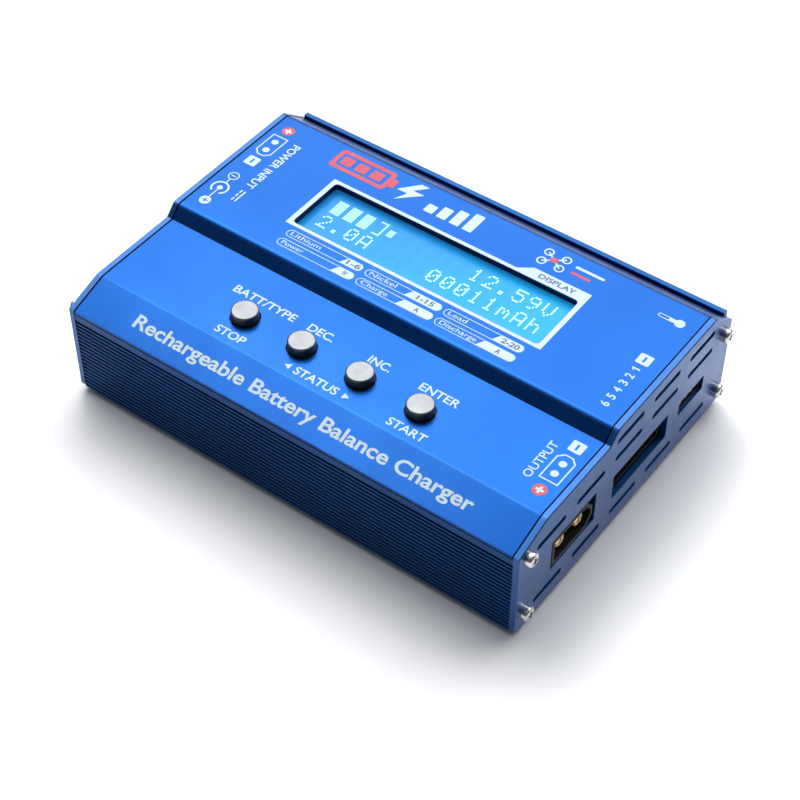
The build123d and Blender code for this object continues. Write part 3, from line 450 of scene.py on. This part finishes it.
def jack_sign(deck, x, minus_y, jack_y, plus_y):
    """The sign for a barrel jack with its plus inside: a minus at its ring and a plus at its dot."""
    disc, stroke, bar, cross, cross_bar = 1.45, 0.3, 0.7, 0.75, 0.36
    ring, ring_stroke, dot, opening = 2.1, 0.5, 0.75, (-58, 238)
    ink(deck, "white", circle(x, minus_y, disc), circle(x, minus_y, disc - stroke))
    ink(deck, "white", rectangle(x - bar, minus_y - stroke / 2, x + bar, minus_y + stroke / 2))
    ink(deck, "white", rectangle(x - stroke / 2, jack_y + ring + ring_stroke / 2,
                                 x + stroke / 2, minus_y - disc + 0.03))
    ink(deck, "white", arc(x, jack_y, ring, ring_stroke, *opening))
    ink(deck, "white", circle(x, jack_y, dot))
    ink(deck, "white", rectangle(x - stroke / 2, plus_y + disc - 0.05, x + stroke / 2, jack_y - dot + 0.03))
    ink(deck, "white", circle(x, plus_y, disc), plus(x, plus_y, cross, cross_bar))


def direct_current_sign(deck, x, y):
    """A long stroke over three short ones, upright as the sign is read from the left end."""
    stroke, apart, length, dash, pitch = 0.4, 1.0, 4.2, 1.1, 1.55
    ink(deck, "white", rectangle(x + apart, y, x + apart + stroke, y + length))
    for k in range(3):
        ink(deck, "white", rectangle(x, y + pitch * k, x + stroke, y + pitch * k + dash))


def battery_sign(deck, x0, y0, x1, y1):
    """A red battery with three cells."""
    wall, cell, pitch, inset = 1.2, 3.2, 4.4, 0.8
    terminal_start, terminal_end, shoulder = x1 + 0.1, x1 + 1.6, 1.9
    ink(deck, "red", rectangle(x0, y0, x1, y1, 1.1),
        rectangle(x0 + wall, y0 + wall, x1 - wall, y1 - wall, 0.5))
    ink(deck, "red", rectangle(terminal_start, y0 + shoulder, terminal_end, y1 - shoulder, 0.3))
    for k in range(3):
        left = x0 + wall + inset + pitch * k
        ink(deck, "red", rectangle(left, y0 + wall + inset, left + cell, y1 - wall - inset, 0.2))


def flash_sign(deck, x, y):
    """A flash with its lower tip at x, y."""
    points = [(2.6, 8.2), (-1.4, 3.5), (1.6, 3.5), (0, 0), (5.4, 5.2), (2.2, 5.2), (5.0, 8.2)]
    ink(deck, "white", [(x + across, y + up) for across, up in points])


def rising_bars(deck, x, y):
    """Four bars, each higher than the one before."""
    width, pitch, height, rise = 2.6, 3.7, 2.9, 1.2
    for k in range(4):
        left = x + pitch * k
        ink(deck, "white", rectangle(left, y, left + width, y + height + rise * k, 0.25))


def drone_sign(deck, x, y):
    """A drone from above: four rotors on crossed arms, with a red body on top."""
    arm_x, arm_y, arm_width, rotor, hub = 2.4, 1.7, 0.45, 1.25, 0.85
    body_x, body_y = 1.0, 0.8
    rotors = [(x + i * arm_x, y + j * arm_y) for i in (-1, 1) for j in (-1, 1)]
    for rotor_x, rotor_y in rotors:
        ink(deck, "white", circle(rotor_x, rotor_y, rotor), circle(rotor_x, rotor_y, hub))
    for first, last, lift in ((0, 3, 0.002), (1, 2, 0.004)):
        ink(deck, "white", line(rotors[first], rotors[last], arm_width), lift=lift)
    ink(deck, "red", rectangle(x - body_x, y - body_y, x + body_x, y + body_y, 0.4), lift=INK)


def thermometer_sign(deck, x, y):
    """A thermometer with its bulb at x, y and its hollow stem to the left."""
    ink(deck, "white", circle(x, y, 1.25), lift=0.002)
    ink(deck, "white", rectangle(x - 5.6, y - 0.6, x - 1.0, y + 0.6, 0.55),
        rectangle(x - 5.35, y - 0.35, x - 2.7, y + 0.35, 0.3))


def write_dark(text, middle, reach, y, cap, weight):
    """Dark text on top of a white print of the upper deck."""
    write("upper", "dark", text, (middle - reach, y), (middle + reach, y), cap, weight, INK, OVERPRINT)


def pill(x0, y0, split, x1, word, amount):
    """An outline round a word and, right of the slanted edge at split, a filled end with an amount."""
    height, stroke, slant, gap = 2.5, 0.2, 1.3, 0.05
    y1 = y0 + height
    outline = rectangle(x0, y0, x1, y1, height * 0.49)
    hollow = rectangle(x0 + stroke, y0 + stroke, x1, y1 - stroke, height * 0.425)
    left_start, left_end = CORNER_POINTS, 3 * CORNER_POINTS
    ink("upper", "white", outline[left_start:left_end] + [(split, y0), (split + stroke, y0 + stroke)]
        + hollow[left_end - 1:left_start - 1:-1]
        + [(split + slant - stroke, y1 - stroke), (split + slant, y1)])
    ink("upper", "white", outline[:left_start] + [(split + slant + gap, y1), (split + gap, y0)]
        + outline[left_end:])
    word_start, letter = x0 + 1.2, 1.25
    word_end = min(word_start + letter * len(word), split - 0.3)
    write("upper", "white", word, (word_start, y0 + 0.72), (word_end, y0 + 0.72), letter, FINE)
    reach = {1: 0.6, 3: 1.9, 4: 2.3}[len(amount)]
    write_dark(amount, (split + x1) / 2 + 0.5, reach, y0 + 0.58, 1.4, HEAVY)


# ------------------------------------------------------------------ upper deck
# Left end: the supply sockets
red_plus("upper", -56.25, 30.4)
plug_sign("upper", -56.3, 4.6, 19.3, 27.7, False, (25.2, 21.7))
white_minus("upper", -56.35, 16.45)
jack_sign("upper", -56.3, 9.4, 4.2, -1.3)
write("upper", "white", "POWER INPUT", (-51.9, 27.25), (-51.9, 8.2), cap=2.1)
direct_current_sign("upper", -51.5, 2.4)

# Rear: plain signs for the battery, its state and the models it is for
battery_sign("upper", -41.0, 26.3, -24.6, 33.3)
flash_sign("upper", -20.6, 25.4)
rising_bars("upper", -12.6, 26.3)
drone_sign("upper", 22.0, 30.0)
ink("upper", "white", rectangle(27.2, 30.7, 35.0, 31.5, 0.4))
ink("upper", "red", rectangle(27.2, 28.5, 32.4, 29.3, 0.4))

# The frame around the display, with a tab for its name
frame_side, frame_end, tab_depth = 1.4, 1.1, 2.35
margin, window_corner = 0.12, 1.1
tab_foot, tab_left, tab_middle = 16.4, 19.75, 26.9
frame_left, frame_right = window_low.x - frame_side, window_high.x + frame_side
frame_front, frame_rear = window_low.y - frame_end, window_high.y + frame_end
tab_rear = frame_rear + tab_depth
ink("upper", "white", [(frame_left, frame_front), (frame_right, frame_front), (frame_right, tab_rear),
                       (tab_left, tab_rear), (tab_foot, frame_rear), (frame_left, frame_rear)],
    rectangle(window_low.x - margin, window_low.y - margin,
              window_high.x + margin, window_high.y + margin, window_corner))
write_dark("DISPLAY", tab_middle, 4.9, frame_rear + 0.1, 1.45, BOLD)

# Two rows of pills: where each starts, splits and ends, and what it says
pill_rows = {
    0.2: ((-33.6, -17.6, -11.7, "Lithium", "1-6"), (-10.7, 0.75, 10.4, "Nickel", "1-15"),
          (11.25, 24.75, 32.5, "Lead", "2-20")),
    -3.3: ((-33.6, -17.7, -11.7, "Power", "W"), (-10.7, 0.75, 10.4, "Charge", "A"),
           (11.25, 22.7, 32.5, "Discharge", "A")),
}
for y, row in pill_rows.items():
    for start, split, end, word, amount in row:
        pill(start, y, split, end, word, amount)

# Right end: the temperature and balance sockets, with the cells' numbers
thermometer_sign("upper", 55.9, 29.1)
white_minus("upper", 55.45, 14.85)
DIGIT_HEIGHT, DIGIT_X, DIGIT_1_Y, DIGIT_PITCH, DIGIT_REACH = 2.0, 56.3, 11.3, 2.53, 0.62
# The outline of the 1, in shares of its height
one = [(0.22, 0), (0.46, 0), (0.46, 1), (0.28, 1), (0.17, 0.86), (0.0, 0.78), (0.0, 0.60), (0.22, 0.70)]
ink("upper", "white", [(DIGIT_X - up * DIGIT_HEIGHT, DIGIT_1_Y + (across - 0.26) * DIGIT_HEIGHT)
                       for across, up in one])
for k in range(1, 6):
    y = DIGIT_1_Y - DIGIT_PITCH * k
    write("upper", "white", str(k + 1), (DIGIT_X, y - DIGIT_REACH), (DIGIT_X, y + DIGIT_REACH), DIGIT_HEIGHT)

# ------------------------------------------------------------------ lower deck and slope
label_rows = {
    -19.2: (("BATT/TYPE", -33.3, -15.7), ("DEC.", -11.9, -4.8), ("INC.", 5.0, 11.0), ("ENTER", 18.9, 29.2)),
    -31.6: (("STOP", -28.6, -20.4), ("STATUS", -6.1, 5.6), ("START", 19.2, 29.1)),
}
for y, row in label_rows.items():
    for text, start, end in row:
        write("lower", "white", text, (start, y), (end, y), cap=2.2)

ARROW_Y, ARROW_LENGTH, ARROW_REACH = -30.5, 1.6, 0.9
for tip, way in ((-9.0, 1), (8.7, -1)):
    foot, reach = tip + way * ARROW_LENGTH, way * ARROW_REACH
    ink("lower", "white", [(tip, ARROW_Y), (foot, ARROW_Y - reach), (foot, ARROW_Y + reach)])

white_minus("lower", 56.25, -13.25)
plug_sign("lower", 56.3, 4.8, -24.8, -16.3, True, (-19.0, -22.2))
red_plus("lower", 56.25, -27.75)
write("lower", "white", "OUTPUT", (52.7, -26.3), (52.7, -14.7), cap=2.0, weight=LIGHT)

write("slope", "white", "Rechargeable Battery Balance Charger", (-45.8, 3.7), (47.0, 3.7), cap=3.3,
      weight=HEAVY)

# ------------------------------------------------------------------ display
GLYPHS = {
    "0": "01110 10001 10011 10101 11001 10001 01110 00000",
    "1": "00100 01100 00100 00100 00100 00100 01110 00000",
    "2": "01110 10001 00001 00010 00100 01000 11111 00000",
    "5": "11111 10000 11110 00001 00001 10001 01110 00000",
    "9": "01110 10001 10001 01111 00001 00010 01100 00000",
    "V": "10001 10001 10001 10001 10001 01010 00100 00000",
    "A": "01110 10001 10001 10001 11111 10001 10001 00000",
    "m": "00000 00000 11010 10101 10101 10001 10001 00000",
    "h": "10000 10000 10110 11001 10001 10001 10001 00000",
    ".": "00000 00000 00000 00000 00000 01100 01100 00000",
    "#": "11111 11111 11111 11111 11111 11111 11111 11111",
    "]": "01111 00001 00001 00001 00001 00001 00001 01111",
    "*": "00000 00000 11100 11100 11100 11100 00000 00000",
    " ": "00000 00000 00000 00000 00000 00000 00000 00000",
}
GLYPH_WIDTH, GLYPH_HEIGHT = 5, 8  # in dots
ROWS = ("###]*     12.59V", "2.0A    00011mAh")
DOT_X, DOT_Y, DOT_GAP = 0.562, 0.625, 0.10
COLUMN_PITCH, ROW_PITCH = 3.94, 6.04
LIT_TOP, UNLIT_TOP = 0.03, 0.012  # above the glass
glass_low, glass_high = (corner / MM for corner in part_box("lcd_glass"))
text_x, text_y = (glass_low.x + glass_high.x) / 2 - 0.2, (glass_low.y + glass_high.y) / 2 + 0.5


def slab(target, x0, y0, x1, y1, z0, z1):
    """A thin block in a bmesh, in millimetres."""
    outline = rectangle(x0, y0, x1, y1)
    corners = [target.verts.new(Vector((x, y, z)) * MM) for z in (z0, z1) for x, y in outline]
    for face in ((3, 2, 1, 0), (4, 5, 6, 7), (0, 1, 5, 4), (1, 2, 6, 5), (2, 3, 7, 6), (3, 0, 4, 7)):
        target.faces.new([corners[i] for i in face])


def show(character, left, top):
    """The dots of a character, lit or not, from its upper left corner."""
    for j, bits in enumerate(GLYPHS[character].split()):
        for i, bit in enumerate(bits):
            x, y = left + i * DOT_X, top - j * DOT_Y
            group, height = ("display_dots", LIT_TOP) if bit == "1" else ("display_cells", UNLIT_TOP)
            slab(prints[group], x, y - DOT_Y + DOT_GAP, x + DOT_X - DOT_GAP, y, glass_high.z + CLEAR,
                 glass_high.z + height)


for group in ("display_dots", "display_cells"):
    prints[group] = bmesh.new()
for row, text in enumerate(ROWS):
    for column, character in enumerate(text):
        show(character, text_x + (column - (len(text) - 1) / 2) * COLUMN_PITCH - GLYPH_WIDTH / 2 * DOT_X,
             text_y + (0.5 - row) * ROW_PITCH + GLYPH_HEIGHT / 2 * DOT_Y)

# ------------------------------------------------------------------ pieces
finishes = {
    "white": (white_ink, "printed_white"),
    "red": (red_ink, "printed_red"),
    "dark": (dark_ink, "printed_dark"),
    "dots": (lit_dots, "display_segments"),
    "cells": (unlit_dots, "display_glass"),
}
for group, gathered in prints.items():
    mesh = bpy.data.meshes.new(group)
    gathered.to_mesh(mesh)
    gathered.free()
    piece = bpy.data.objects.new(group, mesh)
    bpy.context.scene.collection.objects.link(piece)
    material, slot = finishes[group.rsplit("_", 1)[1]]
    mesh.materials.clear()
    mesh.materials.append(material)
    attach(piece, "case")

# ------------------------------------------------------------------ floor and light, in metres
FLOOR = 3.0
floor_mesh = bpy.data.meshes.new("floor")
floor_mesh.from_pydata([(x, y, 0) for x, y in rectangle(-FLOOR, -FLOOR, FLOOR, FLOOR)], [], [(0, 1, 2, 3)])
floor = bpy.data.objects.new("floor", floor_mesh)
bpy.context.scene.collection.objects.link(floor)
floor_mesh.materials.append(surface("floor_white", (0.93, 0.93, 0.94), (0.95, 0.95, 0.955),
                                    rough=(0.55, 0.65), grain=1.0, depth=0.002, blotch=200.0))

SKY_LIGHT = Vector((-0.28, 0.36, 0.88)).normalized()  # towards the sky's bright side
SKY_DARK_COLOR, SKY_BRIGHT_COLOR = (0.075, 0.085, 0.105), (0.60, 0.62, 0.65)
world = bpy.data.worlds.new("studio")
bpy.context.scene.world = world
world.use_nodes = True
sky = world.node_tree
toward = add(sky, "ShaderNodeVectorMath", operation="DOT_PRODUCT")
sky.links.new(add(sky, "ShaderNodeTexCoord").outputs["Generated"], toward.inputs[0])
toward.inputs[1].default_value = SKY_LIGHT
closeness = remap(sky, toward.outputs["Value"], 0, 1, (0.42, 0.85))
sky.links.new(mix(sky, closeness, SKY_DARK_COLOR, SKY_BRIGHT_COLOR), sky.nodes["Background"].inputs["Color"])
LIGHTS_AIM = Vector((0, 0, 0.02))


def area_light(name, place, width, height, energy):
    light = bpy.data.lights.new(name, "AREA")
    light.shape = "RECTANGLE"
    light.size, light.size_y = width, height
    light.energy = energy
    lamp = bpy.data.objects.new(name, light)
    lamp.location = place
    lamp.rotation_euler = (LIGHTS_AIM - Vector(place)).to_track_quat("-Z", "Y").to_euler()
    bpy.context.scene.collection.objects.link(lamp)


area_light("key", (-0.26, 0.58, 0.75), 0.8, 0.7, 5.4)
area_light("top", (-0.40, 0.17, 0.82), 0.55, 0.45, 5.0)
area_light("back", (0.25, 0.66, 0.72), 0.7, 0.5, 3.4)

# ------------------------------------------------------------------ camera
azimuth, elevation, roll = math.radians(36.101), math.radians(46.757), math.radians(0.174)
distance, aside, above, aim_z = 458.54 * MM, 0.117 * MM, -2.312 * MM, 1.3 * MM
back = Vector((math.sin(azimuth) * math.cos(elevation), -math.cos(azimuth) * math.cos(elevation),
               math.sin(elevation)))
level = Vector((math.cos(azimuth), math.sin(azimuth), 0))
raised = back.cross(level)
right = level * math.cos(roll) + raised * math.sin(roll)
up = raised * math.cos(roll) - level * math.sin(roll)
place = back * distance + right * aside + up * above + Vector((0, 0, aim_z))
camera = bpy.data.objects.new("camera", bpy.data.cameras.new("camera"))
camera.data.sensor_width = 36
camera.data.lens = 86.84
camera.data.clip_start = 0.01
camera.matrix_world = Matrix.Translation(place) @ Matrix((right, up, back)).transposed().to_4x4()
bpy.context.scene.collection.objects.link(camera)
bpy.context.scene.camera = camera
bpy.context.scene.view_settings.view_transform = "Standard"
